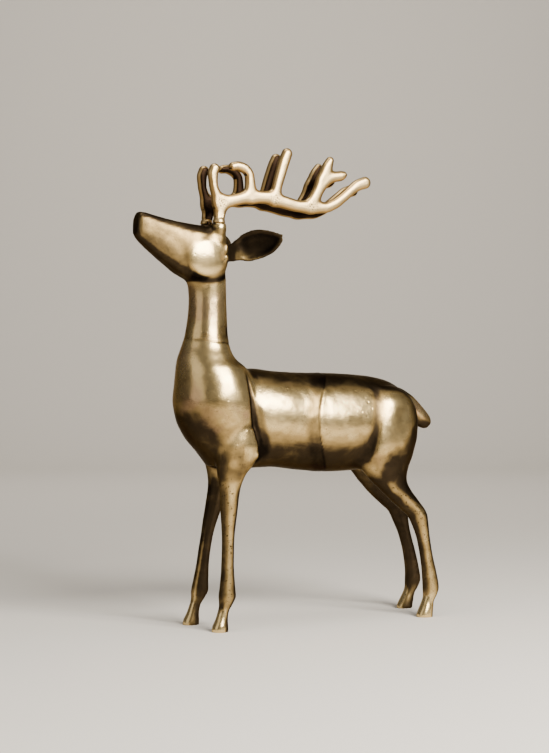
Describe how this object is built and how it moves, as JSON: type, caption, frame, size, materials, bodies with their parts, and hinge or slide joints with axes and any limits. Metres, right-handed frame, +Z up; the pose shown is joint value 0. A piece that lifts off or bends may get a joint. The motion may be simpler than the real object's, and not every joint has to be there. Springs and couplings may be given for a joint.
{
  "type": "cast aluminum reindeer statue",
  "caption": "Standing cast metal reindeer with raised muzzle, leaf-shaped ears and flat branching antlers set into the skull, resting on its flat hooves.",
  "frame": {"origin": "on the floor, under the middle of the statue's box", "axes": "+Z up, the muzzle looks along -X, the left flank is on the -Y side"},
  "size_m": [0.579, 0.2016, 0.8],
  "materials": {
    "body_metal": "antique brass tone over cast aluminum, satin, with dark brown patina in the hollows and along the edges",
    "antler_metal": "pale champagne tone over cast aluminum, buffed faces and dark brown edges"
  },
  "bodies": {
    "root": {"reindeer_body": "body_metal", "left_antler": "antler_metal", "right_antler": "antler_metal"}
  },
  "joints": []
}
